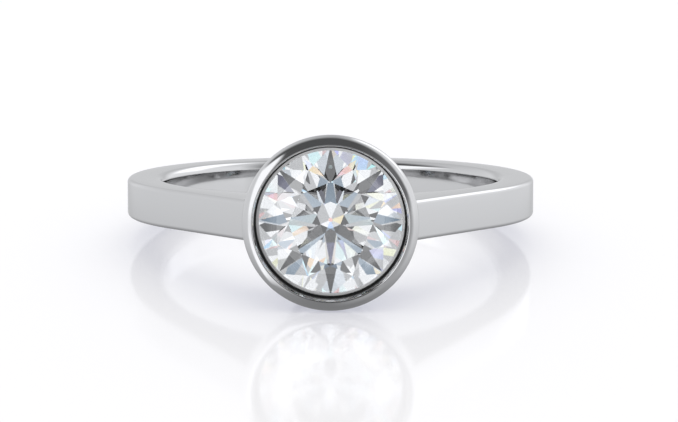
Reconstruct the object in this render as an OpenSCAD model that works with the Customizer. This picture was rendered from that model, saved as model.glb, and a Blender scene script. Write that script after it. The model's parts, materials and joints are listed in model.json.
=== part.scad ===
// Bezel set ring: a plain band with straight shoulders, a round bezel cup and one brilliant cut
// stone. The ring is drawn about its finger hole, whose axis is Z, with the cup towards -Y. The
// whole ring is then laid on its side, on the cup's lip and the back of the band. Millimetres.

/* [Finger hole] */
// Inside diameter of the band
finger_d = 16.5; // [15:0.1:20]

/* [Band] */
// Thickness of the band, from the finger hole to its outer face
band_t = 1.8; // [1.5:0.05:2.3]
// Width of the band, along the finger
band_w = 1.9; // [1.6:0.05:2.6]
// Rounding of the band's two outer edges
outer_round = 0.2; // [0.1:0.05:0.35]
// Rounding of the band's two inner edges
inner_round = 0.4; // [0.1:0.05:0.5]
// Angle from the cup to the place where the round band turns into a straight shoulder
shoulder_angle = 52; // [48:1:58]

/* [Stone] */
// Diameter of the stone at its girdle
stone_d = 6.9; // [6:0.1:7.5]
// Width of the table, corner to corner
table_d = 3.9; // [3.4:0.1:4.2]
// Width of the culet, the small facet at the bottom, corner to corner
culet_d = 0.2; // [0.1:0.1:1.2]
// Height of the girdle, between the crown and the pavilion
girdle_h = 0.24; // [0.18:0.02:0.4]
// Slope of the eight kite facets of the crown
crown_angle = 34.5; // [32:0.5:36]
// Slope of the eight main facets of the pavilion
pavilion_angle = 40.8; // [39:0.2:42]
// Share of the crown's width that the star facets take up
star_share = 0.52; // [0.4:0.02:0.6]
// Share of the pavilion's radius that the lower half facets take up
lower_share = 0.77; // [0.7:0.01:0.85]

/* [Cup] */
// Metal outside the girdle, from the stone's edge to the widest part of the lip
cup_wall = 0.65; // [0.5:0.05:0.9]
// How far the lip reaches over the stone's edge
lip_cover = 0.12; // [0.05:0.01:0.2]
// Width of the flat land on the lip beside the stone
lip_land = 0.16; // [0.08:0.01:0.2]
// Width of the steep bevel from the land up to the rim. The rest of the lip is rounded, down to
// the outer wall.
lip_bevel = 0.13; // [0.08:0.01:0.2]
// Height of the lip above the stone's table
lip_over_table = 0.05; // [0:0.05:0.3]
// Slope of the cup's outer wall, inwards from the lip to the finger hole
cup_taper = 14; // [11:1:16]
// Metal round the open hole behind the stone, where the cup meets the finger
back_wall = 0.65; // [0.5:0.05:0.9]
// Room between the culet and the finger
culet_room = 0.05; // [0.05:0.05:0.5]
// Gap between the stone and its seat
seat_gap = 0.03; // [0.02:0.01:0.05]
// How far the shoulders run into the cup's wall
solder_bite = 0.15; // [0.1:0.05:0.25]

/* [Hidden] */
$fn = 96;

finger_r = finger_d / 2;
band_r = finger_r + band_t;
stone_r = stone_d / 2;

// A brilliant has eight kites, and its facets step round it in halves and quarters of that angle
FACETS = 8;
facet_step = 360 / FACETS;
half_step = facet_step / 2;
quarter_step = facet_step / 4;

// Heights in the stone are measured from the top of its girdle
table_r = table_d / 2;
crown_h = (stone_r - table_r) * tan(crown_angle);
star_edge_r = table_r * cos(half_step);
star_r = star_edge_r + star_share * (stone_r - star_edge_r);
star_h = (stone_r - star_r * cos(half_step)) * tan(crown_angle);
culet_r = culet_d / 2;
pavilion_h = (stone_r - culet_r * cos(half_step)) * tan(pavilion_angle);
ridge_r = (1 - lower_share) * stone_r;
ridge_h = (stone_r - ridge_r * cos(half_step)) * tan(pavilion_angle);
stone_h = crown_h + girdle_h + pavilion_h;

// Heights in the cup are measured from the axis of the finger hole
culet_z = finger_r + culet_room;
girdle_low_z = culet_z + pavilion_h;
girdle_top_z = girdle_low_z + girdle_h;
rim_z = culet_z + stone_h + lip_over_table;

// Depth by which one face lies under another where the two would otherwise only touch
weld = 0.005;

// The cup's wall in section, whose outer face ends inside the round part of the lip
lip_r = stone_r + cup_wall;
cup_low_z = sqrt(pow(finger_r, 2) - pow(lip_r, 2));
lip_in_r = stone_r - lip_cover;
land_r = lip_in_r + lip_land;
bead_r = land_r + lip_bevel;
lip_round = lip_r - bead_r;
bead_z = rim_z - lip_round;
weld_r = lip_round - weld;
wall_top = [bead_r + weld_r * cos(cup_taper), bead_z - weld_r * sin(cup_taper)];
seat_r = stone_r + seat_gap;

// The steepest edges of the crown and the pavilion, which the seat and the lip keep clear of
crown_edge = atan2(star_h, stone_r - star_r);
pavilion_edge = atan2(ridge_h, stone_r - ridge_r);
lip_in_z = girdle_top_z + lip_cover * tan(crown_edge) + seat_gap / cos(crown_edge);
crown_gap_z = girdle_top_z + seat_gap / cos(crown_edge) - seat_gap * tan(crown_edge);
seat_low_z = girdle_low_z - seat_gap / cos(pavilion_edge) + seat_gap * tan(pavilion_edge);
back_hole_r = wall_r(finger_r) - back_wall;
back_hole_z = seat_low_z - (seat_r - back_hole_r) * tan(pavilion_edge);

function wall_r(z, bite = 0) = wall_top.x - (wall_top.y - z) * tan(cup_taper) - bite;

// The inner half of the band runs all the way round. In front, a web fills the space between it
// and the shoulders.
skin = band_t / 2;

// The right shoulder leaves the band at side and runs along to the cup, where its outer face ends
// inside the wall. Its root lies inside the band, a hair below the band's face.
side = [sin(shoulder_angle), -cos(shoulder_angle)];
along = [-cos(shoulder_angle), -sin(shoulder_angle)];
shoulder_l = (band_r * side.x - lip_r + cup_wall / 2) / cos(shoulder_angle);
root = sqrt(band_r * weld);

// The ring lies on the round of the lip and on the rounded lower edge of the band's back
back_y = band_r - outer_round;
back_z = band_w / 2 - outer_round;
rest_line = [back_y + bead_z, bead_r - back_z];
tilt = atan2(rest_line.y, rest_line.x) + asin((lip_round - outer_round) / norm(rest_line));
lift = lip_round - bead_z * sin(tilt) + bead_r * cos(tilt);
front_reach = bead_z * cos(tilt) + bead_r * sin(tilt) + lip_round;
back_reach = back_y * cos(tilt) + back_z * sin(tilt) + outer_round;
centre_y = (front_reach - back_reach) / 2;

module laid_on_side() {
    translate([0, centre_y, lift]) rotate([-tilt, 0, 0]) children();
}

// Turns what is drawn about Z, with its rim up, so that it faces the cup's way
module towards_cup() {
    rotate([90, 0, 0]) children();
}

// Section of the band, with X as the distance from the axis of the finger hole
module band_section() {
    flat_w = band_w - 2 * outer_round;
    inner_flat_w = band_w - 2 * inner_round;
    translate([finger_r + inner_round, -band_w / 2])
        square([band_t - inner_round - outer_round, band_w]);
    translate([finger_r, -inner_flat_w / 2]) square([skin, inner_flat_w]);
    translate([finger_r + skin, -flat_w / 2]) square([band_t - skin, flat_w]);
    for (s = [-1, 1]) {
        translate([band_r - outer_round, s * flat_w / 2]) circle(r = outer_round);
        translate([finger_r + inner_round, s * inner_flat_w / 2]) circle(r = inner_round);
    }
}

// Part of that section, from radius low to radius high
module section_part(low, high) {
    intersection() {
        band_section();
        translate([low, -band_w / 2]) square([high - low, band_w]);
    }
}

// The round band, whose outer half is open in front, where the shoulders take over
module round_band() {
    rotate_extrude() section_part(finger_r, finger_r + skin);
    rotate_extrude(angle = 360 - 2 * shoulder_angle, start = shoulder_angle - 90)
        section_part(finger_r + skin / 2, band_r);
}

// Outer half of the right shoulder, with its rounded edges
module shoulder_face() {
    rotate([0, 0, shoulder_angle - 90]) translate([-weld, root, 0]) rotate([90, 0, 0])
        linear_extrude(root + shoulder_l) section_part(finger_r + skin / 2, band_r);
}

// Flat-sided metal between the finger hole and the two shoulder faces
module web() {
    outer = side * (finger_r + skin);
    start = outer - along * root;
    end = outer + along * shoulder_l;
    translate([0, 0, -band_w / 2]) linear_extrude(band_w) difference() {
        polygon([[0, 0], start, end, [-end.x, end.y], [-start.x, start.y]]);
        circle(r = finger_r + skin / 2);
    }
}

// The band and its shoulders stop inside the cup's wall
module band() {
    difference() {
        union() {
            round_band();
            web();
            shoulder_face();
            mirror([1, 0, 0]) shoulder_face();
        }
        towards_cup() rotate_extrude() polygon([
            [0, 0], [wall_r(0, solder_bite), 0],
            [wall_r(rim_z, solder_bite), rim_z], [0, rim_z]
        ]);
    }
}

module cup() {
    difference() {
        towards_cup() rotate_extrude() {
            polygon([
                [back_hole_r, cup_low_z], [wall_r(cup_low_z), cup_low_z], wall_top,
                [bead_r, bead_z], [bead_r, rim_z], [land_r, lip_in_z], [lip_in_r, lip_in_z],
                [seat_r, crown_gap_z], [seat_r, seat_low_z], [back_hole_r, back_hole_z]
            ]);
            intersection() {
                translate([bead_r, bead_z]) circle(r = lip_round);
                translate([bead_r, bead_z - lip_round]) square(2 * lip_round);
            }
        }
        cylinder(r = finger_r, h = 2 * lip_r, center = true);
    }
}

module setting() {
    color("gainsboro") laid_on_side() union() {
        band();
        cup();
    }
}

// Corners of the stone, evenly spaced on a circle of radius r at height h
function corners(turn, r, h) =
    [for (k = [0 : FACETS - 1]) let (a = turn + k * facet_step) [r * cos(a), r * sin(a), h]];

// Edge of the girdle. It dips a little in the middle of each half facet, where the flat facet
// cuts the round girdle.
function girdle_edge(h, dip) =
    [for (i = [0 : 4 * FACETS - 1]) let (a = i * quarter_step)
        [stone_r * cos(a), stone_r * sin(a), h - (i % 2) * dip]];

// Depth of that dip, for half facets that end at radius r and height h from the girdle
function dip(r, h) =
    let (chord = stone_r * cos(quarter_step))
    (stone_r - chord) * h / (chord - r * cos(quarter_step));

// Numbers of the corners in a ring that starts at corner number first and has count corners
function nth(first, count, i) = first + (i + count) % count;

module stone_body() {
    low_h = -girdle_h - pavilion_h;
    points = concat(
        corners(0, table_r, crown_h),
        corners(half_step, star_r, star_h),
        girdle_edge(0, dip(star_r, star_h)),
        girdle_edge(-girdle_h, -dip(ridge_r, ridge_h)),
        corners(half_step, ridge_r, -girdle_h - ridge_h),
        corners(half_step, culet_r, low_h)
    );
    edge = 4 * FACETS;
    table = 0;
    star = table + FACETS;
    top = star + FACETS;
    low = top + edge;
    ridge = low + edge;
    culet = ridge + FACETS;
    round = [0 : FACETS - 1];
    crown = [for (k = round) each [
        [nth(table, FACETS, k), nth(table, FACETS, k + 1), nth(star, FACETS, k)],
        [nth(table, FACETS, k), nth(star, FACETS, k), nth(top, edge, 4 * k),
            nth(star, FACETS, k - 1)],
        for (half = [0, 2]) [nth(star, FACETS, k), for (i = [2 : -1 : 0])
            nth(top, edge, 4 * k + half + i)]
    ]];
    girdle = [for (i = [0 : edge - 1]) [
        nth(top, edge, i), nth(top, edge, i + 1), nth(low, edge, i + 1), nth(low, edge, i)
    ]];
    pavilion = [for (k = round) each [
        [nth(low, edge, 4 * k), nth(ridge, FACETS, k), nth(culet, FACETS, k),
            nth(culet, FACETS, k - 1), nth(ridge, FACETS, k - 1)],
        for (half = [0, 2]) [nth(ridge, FACETS, k), for (i = [0 : 2])
            nth(low, edge, 4 * k + half + i)]
    ]];
    flats = [
        [for (k = [FACETS - 1 : -1 : 0]) table + k],
        [for (k = round) culet + k]
    ];
    polyhedron(points, concat(crown, girdle, pavilion, flats));
}

module stone() {
    color("aliceblue") laid_on_side() towards_cup()
        translate([0, 0, girdle_top_z]) stone_body();
}

setting();
stone();
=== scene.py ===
"""Looks of the bezel set ring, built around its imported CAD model. Lengths are millimetres until a
piece is placed, and metres after that."""

import json
from math import asin, atan2, cos, hypot, pi, radians, sin, sqrt, tan

import bmesh
import bpy
from mathutils import Matrix, Vector


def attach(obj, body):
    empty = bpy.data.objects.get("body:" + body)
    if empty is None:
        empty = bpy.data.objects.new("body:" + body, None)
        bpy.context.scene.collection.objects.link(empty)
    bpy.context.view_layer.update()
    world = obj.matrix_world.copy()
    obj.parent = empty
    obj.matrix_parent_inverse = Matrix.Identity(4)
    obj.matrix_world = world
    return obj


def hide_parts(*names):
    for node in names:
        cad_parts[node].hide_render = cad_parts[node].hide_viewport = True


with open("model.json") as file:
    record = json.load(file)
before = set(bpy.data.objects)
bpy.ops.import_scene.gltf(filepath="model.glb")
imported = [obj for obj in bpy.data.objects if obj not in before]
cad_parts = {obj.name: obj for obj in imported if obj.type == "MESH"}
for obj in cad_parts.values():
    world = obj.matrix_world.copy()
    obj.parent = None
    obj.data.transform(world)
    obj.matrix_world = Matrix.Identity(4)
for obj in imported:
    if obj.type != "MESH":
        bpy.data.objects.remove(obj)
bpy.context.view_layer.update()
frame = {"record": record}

# The bezel cup: a tapered tube of white gold with a thick rounded lip, turned and bored to fit the
# stone. It is open behind the stone, and its lower end is filed to the curve of the finger hole.
# The lip is rubbed over the stone's edge and polished.
MM = 0.001
finger_hole = frame["record"]["mounts"][0]
finger_r = finger_hole["dims"]["r_mm"]
ring_centre = Vector(finger_hole["pos_m"])
ring_axis = Vector(finger_hole["axis"])
ring_turn = Vector((0, 0, 1)).rotation_difference(ring_axis).to_matrix()
ring_place = Matrix.Translation(ring_centre) @ ring_turn.to_4x4() @ Matrix.Scale(MM, 4)

# Heights in the stone are measured from the top of its girdle
stone_r = 3.45
table_r = 1.95
culet_r = 0.1
girdle_h = 0.24
crown_slope = tan(radians(34.5))
pavilion_slope = tan(radians(40.8))
star_share = 0.52
lower_share = 0.77

FACETS = 8
half_step = pi / FACETS
star_edge_r = table_r * cos(half_step)
star_r = star_edge_r + star_share * (stone_r - star_edge_r)
crown_h = (stone_r - table_r) * crown_slope
star_h = (stone_r - star_r * cos(half_step)) * crown_slope
ridge_r = (1 - lower_share) * stone_r
ridge_h = (stone_r - ridge_r * cos(half_step)) * pavilion_slope
pavilion_h = (stone_r - culet_r * cos(half_step)) * pavilion_slope

# Heights in the cup are measured from the axis of the finger hole
culet_room = 0.05
lip_over_table = 0.05
girdle_low = finger_r + culet_room + pavilion_h
girdle_top = girdle_low + girdle_h
rim = girdle_top + crown_h + lip_over_table

seat_gap = 0.03
cup_wall = 0.65
lip_cover = 0.12
lip_land = 0.16
lip_bevel = 0.13
lip_edge = 0.06
taper = radians(14)
back_wall = 0.65

crown_edge = star_h / (stone_r - star_r)
pavilion_edge = ridge_h / (stone_r - ridge_r)
crown_gap = seat_gap * hypot(1, crown_edge)
pavilion_gap = seat_gap * hypot(1, pavilion_edge)
seat_r = stone_r + seat_gap
lip_in_r = stone_r - lip_cover
lip_in = girdle_top + lip_cover * crown_edge + crown_gap
land_r = lip_in_r + lip_land
round_r = land_r + lip_bevel
lip_round = stone_r + cup_wall - round_r
round_top = rim - lip_round

CUP_SIDES = 288
BEVEL_STEPS = 8
LIP_STEPS = 32
WALL_STEPS = 12
FOOT_STEPS = 6
SETTLE_ROUNDS = 4
SHARP_ANGLE = radians(35)


def wall_r(height):
    """Radius of the cup's outer wall, which is tangent to the round part of the lip."""
    touch_r = round_r + lip_round * cos(taper)
    touch = round_top - lip_round * sin(taper)
    return touch_r - (touch - height) * tan(taper)


def arc(centre, radius, start, end, steps):
    """Points of an arc in the cup's section, from angle start to angle end."""
    turn = (end - start) / steps
    return [
        centre + radius * Vector((cos(start + i * turn), sin(start + i * turn)))
        for i in range(steps + 1)
    ]


def cup_section():
    """Section of the cup as (radius, height), from the seat's lower edge, over the lip."""
    back_r = wall_r(finger_r) - back_wall
    seat_low = girdle_low - pavilion_gap + seat_gap * pavilion_edge
    seat_top = girdle_top + crown_gap - seat_gap * crown_edge
    seat = [
        (back_r, seat_low - (seat_r - back_r) * pavilion_edge),
        (seat_r, seat_low),
        (seat_r, seat_top),
        (lip_in_r, lip_in),
        (land_r, lip_in),
    ]
    # The edge between the bevel and the round part is a small arc that touches both
    middle = Vector((round_r, round_top))
    up_bevel = Vector((lip_bevel, rim - lip_in)).normalized()
    into_metal = Vector((up_bevel.y, -up_bevel.x))
    start = Vector((land_r, lip_in)) + lip_edge * into_metal - middle
    back = start.dot(up_bevel)
    reach = sqrt(back**2 - start.length_squared + (lip_round - lip_edge) ** 2) - back
    edge = middle + start + reach * up_bevel
    out = edge - middle
    meet = atan2(out.y, out.x)
    edge_arc = arc(edge, lip_edge, atan2(-into_metal.y, -into_metal.x), meet, BEVEL_STEPS)
    lip_arc = arc(middle, lip_round, meet, -taper, LIP_STEPS)
    return [Vector(point) for point in seat] + edge_arc + lip_arc[1:]


def on_hole(radius, turn):
    """Height at which a wall of that radius meets the finger hole, at an angle round the cup."""
    return sqrt(finger_r**2 - (radius * cos(turn)) ** 2)


def even_steps(start, end, count):
    """Values in even steps from start to end, without start itself."""
    return [start + (end - start) * k / count for k in range(1, count + 1)]


def cup_ring(section, turn):
    """Points of the cup's closed section at one angle round it, as (radius, height)."""
    top_r, top = section[-1]
    back_r = section[0][0]
    # The wall leans, so its radius at the finger hole settles in a few rounds
    low_r = wall_r(finger_r)
    for _ in range(SETTLE_ROUNDS):
        low_r = wall_r(on_hole(low_r, turn))
    low = on_hole(low_r, turn)
    wall = zip(even_steps(top_r, low_r, WALL_STEPS), even_steps(top, low, WALL_STEPS))
    foot = [(radius, on_hole(radius, turn)) for radius in even_steps(low_r, back_r, FOOT_STEPS)]
    return section + list(wall) + foot


def cup_mesh():
    """The cup about the finger hole's axis, with its own axis along -Y."""
    section = cup_section()
    corners = []
    for i in range(CUP_SIDES):
        turn = 2 * pi * i / CUP_SIDES
        corners += [(r * cos(turn), -h, r * sin(turn)) for r, h in cup_ring(section, turn)]
    count = len(corners) // CUP_SIDES
    faces = []
    for i in range(CUP_SIDES):
        here, there = i * count, (i + 1) % CUP_SIDES * count
        faces += [
            (here + j, there + j, there + (j + 1) % count, here + (j + 1) % count)
            for j in range(count)
        ]
    mesh = bpy.data.meshes.new("setting_metal")
    mesh.from_pydata(corners, [], faces)
    mesh.shade_smooth()
    mesh.set_sharp_from_angle(angle=SHARP_ANGLE)
    return mesh


# White gold: a mirror polish over a neutral grey metal. Fine wiping marks and a slow unevenness of
# the polish show only in its highlights. The polishing wheel doesn't reach the inside of the cup,
# which stays dull. In the corner between lip and stone lies a black line of painted shade, and just
# inside it a thin ring of painted highlight, where the metal's colour is made brighter.
class Link:
    """An output of a node tree's node. Arithmetic on it adds Math nodes."""

    def __init__(self, tree, socket=None):
        self.tree = tree
        self.socket = socket

    def node(self, kind, settings=None, inputs=None, output=0):
        """Adds a node: its settings are set first, then its sockets, by name or number."""
        node = self.tree.nodes.new(kind)
        for name, value in (settings or {}).items():
            setattr(node, name, value)
        for name, value in (inputs or {}).items():
            if isinstance(value, Link):
                self.tree.links.new(value.socket, node.inputs[name])
            else:
                node.inputs[name].default_value = value
        return Link(self.tree, node.outputs[output]) if len(node.outputs) else node

    def math(self, operation, *values):
        return self.node("ShaderNodeMath", {"operation": operation}, dict(enumerate(values)))

    def vector_math(self, operation, *values, output="Vector"):
        settings = {"operation": operation}
        return self.node("ShaderNodeVectorMath", settings, dict(enumerate(values)), output)

    def __add__(self, other):
        return self.math("ADD", self, other)

    def __radd__(self, other):
        return self.math("ADD", other, self)

    def __sub__(self, other):
        return self.math("SUBTRACT", self, other)

    def __rsub__(self, other):
        return self.math("SUBTRACT", other, self)

    def __mul__(self, other):
        return self.math("MULTIPLY", self, other)

    def __rmul__(self, other):
        return self.math("MULTIPLY", other, self)

    def __truediv__(self, other):
        return self.math("DIVIDE", self, other)

    def __rtruediv__(self, other):
        return self.math("DIVIDE", other, self)

    def clamped(self):
        return self.math("MINIMUM", self.math("MAXIMUM", self, 0.0), 1.0)

    def over(self, low, high):
        """0 on the side of low, 1 on the side of high, and an even slope between."""
        return ((self - low) / (high - low)).clamped()

    def towards(self, other, mask):
        """This value where the mask is 0, and the other one where it is 1."""
        return self + (other - self) * mask

    def parts(self, vector):
        """The X, Y and Z of a vector."""
        separate = self.tree.nodes.new("ShaderNodeSeparateXYZ")
        self.tree.links.new(vector.socket, separate.inputs[0])
        return [Link(self.tree, output) for output in separate.outputs]

    def vector(self, x, y, z):
        return self.node("ShaderNodeCombineXYZ", {}, {"X": x, "Y": y, "Z": z})


def shader(name):
    """A new material without nodes, and a Link that adds nodes to it."""
    material = bpy.data.materials.new(name)
    material.use_nodes = True
    material.node_tree.nodes.clear()
    return material, Link(material.node_tree)


gold_colour = (0.575, 0.575, 0.58, 1)
# Painted highlight: the brighter metal colour of a thin ring on the land next to the stone
painted_highlight_colour = (0.95, 0.95, 0.95, 1)
# Painted shade: the black of a thin line in the corner between lip and stone
painted_shade_colour = (0.03, 0.03, 0.03, 1)
# Radii of the painted shade line; inside groove_in lies the ring of painted highlight
groove_in = 3.46
groove_out = 3.56
groove_blur = 0.02
under_land = 0.02
dull_depth = 0.3
dull_blur = 0.04
shine_roughness = 0.045
uneven_roughness = 0.05
wiped_roughness = 0.03
dull_roughness = 0.45
polish_scale = 420.0
wipe_scale = (900.0, 900.0, 16000.0)
mark_depth = 0.02 * MM


def polish_marks(nodes, place):
    """The slow unevenness of the polish and the fine wiping marks, as two patterns."""
    uneven = nodes.node(
        "ShaderNodeTexNoise", {}, {"Vector": place, "Scale": polish_scale, "Detail": 3.0}
    )
    stretched = nodes.node("ShaderNodeMapping", {}, {"Vector": place, "Scale": wipe_scale})
    wipes = nodes.node(
        "ShaderNodeTexNoise", {}, {"Vector": stretched, "Scale": 1.0, "Detail": 4.0}
    )
    return uneven, wipes


def on_cup(nodes, place):
    """Millimetres off the cup's axis, and along it from the middle of the finger hole."""
    cup_axis = ring_turn @ Vector((0, -1, 0))
    from_hole = nodes.vector_math("SUBTRACT", place, ring_centre)
    sideways = nodes.vector_math("CROSS_PRODUCT", from_hole, cup_axis)
    off_axis = nodes.vector_math("LENGTH", sideways, output="Value")
    along = nodes.vector_math("DOT_PRODUCT", from_hole, cup_axis, output="Value")
    return (1 / MM) * off_axis, (1 / MM) * along


def white_gold():
    material, nodes = shader("white_gold")
    place = nodes.node("ShaderNodeTexCoord", output="Object")
    uneven, wipes = polish_marks(nodes, place)
    off_axis, along = on_cup(nodes, place)
    # A line of painted shade: a black ring between groove_in and groove_out, above the land
    painted_shade_line = off_axis.over(groove_in - groove_blur, groove_in + groove_blur)
    painted_shade_line = painted_shade_line * off_axis.over(groove_out + groove_blur, groove_out - groove_blur)
    above_land = nodes.math("GREATER_THAN", along, lip_in - under_land)
    # A ring of painted highlight: a brighter metal colour on the land inside groove_in
    painted_highlight_ring = off_axis.over(groove_in + groove_blur / 2, groove_in - groove_blur / 2)
    colour = nodes.node(
        "ShaderNodeMix",
        {"data_type": "RGBA"},
        {"Factor": painted_highlight_ring * above_land, 6: gold_colour, 7: painted_highlight_colour},
        output=2,
    )
    in_wall = (wall_r(0) - dull_depth + tan(taper) * along).over(off_axis, off_axis + dull_blur)
    in_cup = off_axis.over(groove_out + dull_blur, groove_out) * in_wall
    in_cup = in_cup * nodes.math("GREATER_THAN", along, finger_r)
    roughness = shine_roughness + uneven_roughness * uneven + wiped_roughness * wipes
    bump = nodes.node(
        "ShaderNodeBump",
        {},
        {"Height": wipes + uneven, "Strength": 0.02, "Distance": mark_depth},
    )
    metal = nodes.node(
        "ShaderNodeBsdfPrincipled",
        {},
        {
            "Base Color": colour,
            "Metallic": 1.0,
            "Roughness": roughness + dull_roughness * in_cup,
            "Normal": bump,
        },
    )
    # The black matt finish of the painted shade line
    painted_shade = nodes.node(
        "ShaderNodeBsdfPrincipled",
        {},
        {"Base Color": painted_shade_colour, "Roughness": 1.0, "Specular IOR Level": 0.0},
    )
    surface = nodes.node("ShaderNodeMixShader", {}, {0: painted_shade_line * above_land, 1: metal, 2: painted_shade})
    nodes.node("ShaderNodeOutputMaterial", {}, {"Surface": surface})
    return material


gold = white_gold()

# The band: one bar of white gold with softened edges, well rounded towards the finger, and a very
# slightly crowned outer face, bent round the finger hole. In front its two ends leave the circle,
# run straight up to the cup and are soldered into its wall with a small fillet of metal.
band_sizes = {
    "Finger hole": finger_r,
    "Thickness": 1.8,
    "Width": 1.9,
    "Outer edge": 0.2,
    "Inner edge": 0.4,
    "Shoulder angle": radians(52),
    "End angle": radians(18.5),
    "Fillet": 0.22,
    "Bury": 0.02,
    "Crown of face": 0.045,
    "Wall on axis": wall_r(0),
    "Wall taper": taper,
}
STATIONS = 600
EDGE_STEPS = 8


def straight_bar(nodes, size):
    """A bar of the band's section, one unit long. The +X side of its section faces the finger."""
    path = nodes.node("GeometryNodeCurvePrimitiveLine", {}, {"End": (1, 0, 0)})
    path = nodes.node("GeometryNodeResampleCurve", {}, {"Curve": path, "Count": STATIONS})
    section = nodes.node(
        "GeometryNodeCurvePrimitiveQuadrilateral",
        {},
        {"Width": size["Thickness"], "Height": size["Width"]},
    )
    place = nodes.node("GeometryNodeInputPosition")
    on_section = nodes.node("ShaderNodeSeparateXYZ", {}, {0: place}, output="X")
    outer_side = on_section.math("LESS_THAN", on_section, 0.0)
    section = nodes.node(
        "GeometryNodeFilletCurve",
        {"mode": "POLY"},
        {
            "Curve": section,
            "Count": EDGE_STEPS,
            "Radius": size["Inner edge"].towards(size["Outer edge"], outer_side),
        },
    )
    return nodes.node(
        "GeometryNodeCurveToMesh",
        {},
        {"Curve": path, "Profile Curve": section, "Fill Caps": True},
    )


def bent_bar(nodes, size):
    """The bar bent round the finger hole, with its stations closest together at both ends."""
    bar = straight_bar(nodes, size)
    along, from_middle, side = nodes.parts(nodes.node("GeometryNodeInputPosition"))
    height = from_middle + size["Thickness"] * 0.5
    wave = nodes.math("SINE", (along - 0.5) * pi)
    turn = pi + (pi - size["End angle"]) * wave
    past_shoulder = size["Shoulder angle"] - (pi - nodes.math("ABSOLUTE", turn - pi))
    lean = nodes.math("MAXIMUM", past_shoulder, 0.0)
    flat = size["Thickness"] - size["Inner edge"] - size["Outer edge"]
    outward = ((height - size["Inner edge"]) / flat).clamped()
    reach = (size["Finger hole"] + height) * (1 + outward * (1 / nodes.math("COSINE", lean) - 1))
    off_middle = side / size["Width"]
    reach = reach - size["Crown of face"] * 4 * off_middle * off_middle * outward
    bent = nodes.vector(
        reach * nodes.math("SINE", turn), -1 * (reach * nodes.math("COSINE", turn)), -1 * side
    )
    return nodes.node("GeometryNodeSetPosition", {}, {"Geometry": bar, "Position": bent})


def soldered(nodes, band, size):
    """The band with its skin swollen near the cup's wall into a fillet. In the finger hole it
    doesn't swell, and where it lies in the wall it is buried a little instead."""
    x, y, z = nodes.parts(nodes.node("GeometryNodeInputPosition"))
    wall = size["Wall on axis"] - y * nodes.math("TANGENT", size["Wall taper"])
    square = nodes.math("COSINE", size["Wall taper"])
    off_wall = (nodes.math("SQRT", x * x + z * z) - wall) * square
    close = (1 - off_wall / size["Fillet"]).clamped()
    swell = size["Fillet"] * (1 - nodes.math("SQRT", (1 - close * close).clamped()))
    off_hole = nodes.math("SQRT", x * x + y * y) - size["Finger hole"]
    free = (off_hole / size["Inner edge"]).clamped()
    in_wall = nodes.math("LESS_THAN", off_wall, 0.0) * size["Bury"] * (1 - free)
    normal = nodes.node("GeometryNodeInputNormal")
    push = nodes.node(
        "ShaderNodeVectorMath", {"operation": "SCALE"}, {0: normal, "Scale": swell * free - in_wall}
    )
    return nodes.node("GeometryNodeSetPosition", {}, {"Geometry": band, "Offset": push})


def band_tree():
    """Joins the band to the cup that the tree is given. Returns the tree."""
    tree = bpy.data.node_groups.new("band_round_finger", "GeometryNodeTree")
    tree.interface.new_socket("Cup", in_out="INPUT", socket_type="NodeSocketGeometry")
    tree.interface.new_socket("Setting", in_out="OUTPUT", socket_type="NodeSocketGeometry")
    for name in band_sizes:
        tree.interface.new_socket(name, in_out="INPUT", socket_type="NodeSocketFloat")
    nodes = Link(tree)
    group = tree.nodes.new("NodeGroupInput")
    size = {name: Link(tree, group.outputs[name]) for name in band_sizes}
    band = soldered(nodes, bent_bar(nodes, size), size)
    band = nodes.node("GeometryNodeSetShadeSmooth", {}, {"Geometry": band})
    join = tree.nodes.new("GeometryNodeJoinGeometry")
    tree.links.new(band.socket, join.inputs[0])
    tree.links.new(group.outputs["Cup"], join.inputs[0])
    where, turned, scale = ring_place.decompose()
    placed = nodes.node(
        "GeometryNodeTransform",
        {},
        {
            "Geometry": Link(tree, join.outputs[0]),
            "Translation": where,
            "Rotation": turned.to_euler(),
            "Scale": scale,
        },
    )
    whole = nodes.node("GeometryNodeRealizeInstances", {}, {"Geometry": placed})
    whole = nodes.node("GeometryNodeSetMaterial", {}, {"Geometry": whole, "Material": gold})
    nodes.node("NodeGroupOutput", {}, {"Setting": whole})
    return tree


rough = bpy.data.objects.new("setting_parts", cup_mesh())
bpy.context.scene.collection.objects.link(rough)
bend = rough.modifiers.new("band", "NODES")
bend.node_group = band_tree()
for socket in bend.node_group.interface.items_tree:
    if socket.name in band_sizes:
        bend[socket.identifier] = band_sizes[socket.name]
rough.modifiers.new("even_shine", "WEIGHTED_NORMAL").keep_sharp = True
graph = bpy.context.evaluated_depsgraph_get()
setting_mesh = bpy.data.meshes.new_from_object(rough.evaluated_get(graph), depsgraph=graph)
setting_mesh.name = "ring_setting"
bpy.data.objects.remove(rough)
setting = bpy.data.objects.new("ring_setting", setting_mesh)
bpy.context.scene.collection.objects.link(setting)
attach(setting, "root")
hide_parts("setting")

# The stone: a round brilliant, cut facet by facet from a round blank, with a flat table, a thin
# girdle and a very small culet. It is clear, polished all over and bends light strongly. The
# cup's lip holds it.
BLANK_SIDES = 192
blank_room = 1
cut_tolerance = 1e-6
flat_angle = 0.0005


def grind(cut, point, normal):
    """Cuts the blank along a plane, throws away the side that normal points to, and closes it."""
    geometry = cut.verts[:] + cut.edges[:] + cut.faces[:]
    bmesh.ops.bisect_plane(
        cut, geom=geometry, plane_co=point, plane_no=normal, clear_outer=True, dist=cut_tolerance
    )
    rim_edges = [edge for edge in cut.edges if edge.is_boundary]
    if rim_edges:
        bmesh.ops.contextual_create(cut, geom=rim_edges)


def polar(radius, turn, height):
    return Vector((radius * cos(turn), radius * sin(turn), height))


def outward_normal(a, b, c):
    """The normal of the plane through three points, on the side away from the stone's middle."""
    normal = (b - a).cross(c - a).normalized()
    return normal if normal.dot(a - Vector((0, 0, -girdle_h / 2))) > 0 else -normal


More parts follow.
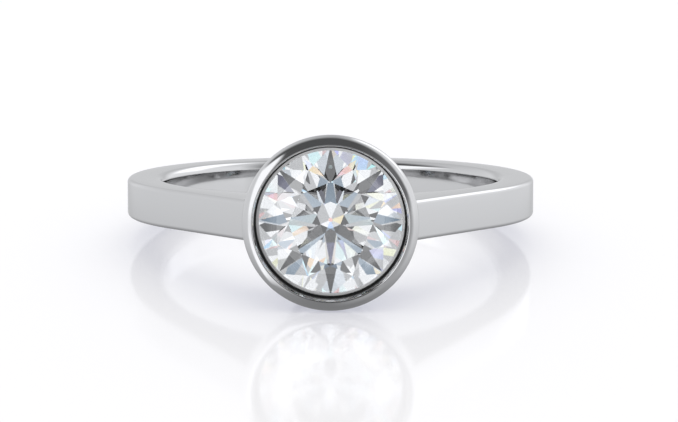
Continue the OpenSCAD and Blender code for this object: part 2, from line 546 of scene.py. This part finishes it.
def brilliant_mesh():
    """The stone about its own axis, with the top of its girdle at height 0."""
    cut = bmesh.new()
    bmesh.ops.create_cone(
        cut,
        cap_ends=True,
        segments=BLANK_SIDES,
        radius1=stone_r,
        radius2=stone_r,
        depth=2 * (pavilion_h + blank_room),
    )
    # First the table and the culet, then the kites and mains, then the stars and the halves
    grind(cut, Vector((0, 0, crown_h)), Vector((0, 0, 1)))
    grind(cut, Vector((0, 0, -girdle_h - pavilion_h)), Vector((0, 0, -1)))
    for k in range(FACETS):
        turn = 2 * k * half_step
        grind(cut, polar(stone_r, turn, 0), polar(crown_slope, turn, 1).normalized())
        lean = polar(pavilion_slope, turn, -1).normalized()
        grind(cut, polar(stone_r, turn, -girdle_h), lean)
    for k in range(FACETS):
        turn = (2 * k + 1) * half_step
        star = polar(star_r, turn, star_h)
        table_ends = [polar(table_r, turn + side * half_step, crown_h) for side in (-1, 1)]
        grind(cut, star, outward_normal(star, *table_ends))
        ridge = polar(ridge_r, turn, -girdle_h - ridge_h)
        for side in (-1, 1):
            for point, height in ((star, 0), (ridge, -girdle_h)):
                ends = [polar(stone_r, turn + step, height) for step in (0, side * half_step)]
                grind(cut, point, outward_normal(point, *ends))
    bmesh.ops.dissolve_limit(cut, angle_limit=flat_angle, verts=cut.verts[:], edges=cut.edges[:])
    bmesh.ops.recalc_face_normals(cut, faces=cut.faces[:])
    mesh = bpy.data.meshes.new("brilliant")
    cut.to_mesh(mesh)
    cut.free()
    return mesh


def clear_stone():
    material, nodes = shader("clear_stone")
    glass = nodes.node(
        "ShaderNodeBsdfPrincipled",
        {},
        {
            "Base Color": (0.995, 0.997, 1.0, 1),
            "Roughness": 0.0,
            "IOR": 2.417,
            "Transmission Weight": 1.0,
        },
    )
    nodes.node("ShaderNodeOutputMaterial", {}, {"Surface": glass})
    return material


towards_cup = Matrix.Rotation(pi / 2, 4, "X") @ Matrix.Translation((0, 0, girdle_top))
stone_mesh = brilliant_mesh()
stone_mesh.transform(ring_place @ towards_cup)
stone_mesh.materials.append(clear_stone())
stone = bpy.data.objects.new("brilliant", stone_mesh)
bpy.context.scene.collection.objects.link(stone)
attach(stone, "root")
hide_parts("stone")

# The studio: a glossy white light table in a plain white room. It glows a little and is lit from
# above and behind, so that its shadows are soft. The camera looks down at the angle of the photo.
table_half = 1.5
rise_over_ring = radians(6.13)
camera_rise = rise_over_ring + asin(ring_axis.y)
camera_distance = 0.1835
camera_aim = ring_centre + Vector((0.00042, -0.00019, -0.00076))
IN_DEGREES = 180 / pi

# What the metal mirrors: the brightness of each part, and what is added to it at one side or both.
# Where a part is drawn, brackets hold the two degrees or shares between which it fades.
ceiling_light = 0.65
ceiling_right = 0.57
ceiling_left = 0.38
ground_light = 0.33
ground_side = 0.2
ground_end = 0.47
ground_right = 0.09
front_light = 0.58
back_light = 0.72
window_light = 1.9
panel_light = 0.12
panel_right = 0.1
screen_light = 1.7
screen_middle = -0.3
screen_width = 48

# What shows through the stone: brightness, then the pattern of the bars and the split of colours
camera_shade = 0.25
room_light = 0.56
bar_light = 0.5
bar_start = 3.2
bar_turn = 0.29
BAR_WAVES = 5
wave_start = 0.5
wave_size = 2.1
split = {"red": -0.55, "green": 0, "blue": 0.55}
tint = {"red": 0.98, "green": 1.0, "blue": 1.03}

# The plain room, and what the table gathers of it from the sides and from overhead and behind
plain_light = 1.15
side_light = 0.4
overhead_light = 2.1
lean_back = 0.5


def floor_finish():
    material, nodes = shader("glossy_table")
    table = nodes.node(
        "ShaderNodeBsdfPrincipled",
        {},
        {
            "Base Color": (0.48, 0.465, 0.4, 1),
            "Roughness": 0.09,
            "IOR": 1.4,
            "Emission Color": (0.82, 0.835, 1.0, 1),
            "Emission Strength": 0.45,
        },
    )
    nodes.node("ShaderNodeOutputMaterial", {}, {"Surface": table})
    return material


def pale_room(off_front, across, rise):
    """A ceiling and a ground that are lighter at both sides, a duller part at the right in front
    and an even wall behind."""
    ceiling = ceiling_light + ceiling_right * across.over(0.1, 0.85)
    ceiling = ceiling + ceiling_left * across.over(0, -1)
    sideways = across * across
    end = ground_end + ground_right * across.over(-0.3, 0.3)
    ground = ground_light + sideways * (ground_side + end * sideways)
    room = ground.towards(ceiling, rise.over(-0.1, 0.1))
    room = room.towards(front_light, off_front.over(64, 32) * across.over(0, 0.5))
    return room.towards(back_light, off_front.over(150, 165))


def left_screen(nodes, right, up):
    """Mask of a bright screen, in degrees to the right and up from the front. Its far side leans
    outwards, and slanting lines cut off its upper and lower corners on the near side."""
    far_side = right + screen_width + 0.8 * nodes.math("MAXIMUM", up, 0.0)
    screen = right.over(0, -9) * far_side.over(-6, 6)
    screen = screen * (up + 1.6 * right).over(-4, -14) * (up - right).over(-8, 8)
    return screen * up.over(60, 50)


def metal_light(nodes, off_front, turn, across, rise):
    """What the polished metal mirrors: a pale room, a window behind at the right, a dark panel
    above the front and a bright screen on the left. off_front and turn are degrees, turn 0 is
    right and 90 is up."""
    room = pale_room(off_front, across, rise)
    window = off_front.over(108, 118) * off_front.over(152, 142)
    window = window * turn.over(18, 28) * turn.over(74, 64)
    room = room.towards(window_light, window)

    border = 60 + 45 * turn.over(25, 85)
    panel = (border - off_front).over(-14, 14) * turn.over(8, 22) * turn.over(148, 138)
    light = room.towards(panel_light + panel_right * turn.over(70, 45), panel)

    up = off_front * rise
    middle = nodes.math("ABSOLUTE", up).over(7, 2)
    screen = left_screen(nodes, off_front * across, up)
    return light.towards(screen_light + screen_middle * middle, screen)


def stone_light(nodes, off_camera, turn, colour):
    """What one colour of light brings out of the stone: dark where the camera stands, and bright
    bars round it. The colours leave the stone at slightly different angles."""
    bent = off_camera + split[colour] * (0.3 + off_camera / 35)
    light = camera_shade + room_light * bent.over(15, 18)
    wave = wave_size * nodes.math("SINE", wave_start + turn * (BAR_WAVES / IN_DEGREES))
    bars = nodes.math("SINE", bar_start + bent * bar_turn + wave)
    light = light + bar_light * bars.over(-0.1, 0.3) * bent.over(20, 26)
    return light * tint[colour]


def studio_light():
    """The light from each direction, as the table, the polished metal and the stone gather it."""
    world = bpy.data.worlds.new("studio")
    bpy.context.scene.world = world
    world.use_nodes = True
    world.node_tree.nodes.clear()
    nodes = Link(world.node_tree)
    x, y, z = nodes.parts(nodes.node("ShaderNodeTexCoord", output="Generated"))
    off_front = nodes.math("ARCCOSINE", -1 * y)
    spread = nodes.math("SINE", off_front)
    turn = nodes.math("ARCTAN2", z, x) * IN_DEGREES
    metal = metal_light(nodes, off_front * IN_DEGREES, turn, x / spread, z / spread)

    towards_camera = nodes.math("ARCCOSINE", cos(camera_rise) * (-1 * y) + sin(camera_rise) * z)
    off_camera = towards_camera * IN_DEGREES
    colours = [stone_light(nodes, off_camera, turn, name) for name in split]
    stone = nodes.node("ShaderNodeCombineColor", {}, dict(enumerate(colours)))

    glossy = nodes.node("ShaderNodeLightPath", output="Is Glossy Ray")
    diffuse = nodes.node("ShaderNodeLightPath", output="Is Diffuse Ray")
    through = nodes.node("ShaderNodeLightPath", output="Is Transmission Ray")
    above = (z + lean_back * y).over(0.1, 1.1)
    soft = overhead_light * above * above - (plain_light - side_light)
    strength = plain_light + glossy * (metal - plain_light) + diffuse * soft
    plain = nodes.node(
        "ShaderNodeBackground", {}, {"Color": (0.97, 0.98, 1.0, 1), "Strength": strength}
    )
    sparkle = nodes.node("ShaderNodeBackground", {}, {"Color": stone, "Strength": 1.0})
    light = nodes.node("ShaderNodeMixShader", {}, {0: through, 1: plain, 2: sparkle})
    nodes.node("ShaderNodeOutputWorld", {}, {"Surface": light})


studio_light()
table_mesh = bpy.data.meshes.new("table")
table_corners = [
    (table_half * x, table_half * y, 0) for x, y in ((-1, -1), (1, -1), (1, 1), (-1, 1))
]
table_mesh.from_pydata(table_corners, [], [(0, 1, 2, 3)])
table_mesh.materials.append(floor_finish())
table = bpy.data.objects.new("table", table_mesh)
bpy.context.scene.collection.objects.link(table)
table.visible_glossy = False
table.visible_transmission = False

camera_data = bpy.data.cameras.new("camera")
camera_data.sensor_width = 36
camera_data.lens = 196.8
camera_data.clip_start = 0.005
camera = bpy.data.objects.new("camera", camera_data)
bpy.context.scene.collection.objects.link(camera)
camera.location = ring_centre + camera_distance * Vector((0, -cos(camera_rise), sin(camera_rise)))
camera.rotation_euler = (camera_aim - camera.location).to_track_quat("-Z", "Y").to_euler()
bpy.context.scene.camera = camera
bpy.context.scene.view_settings.view_transform = "Standard"
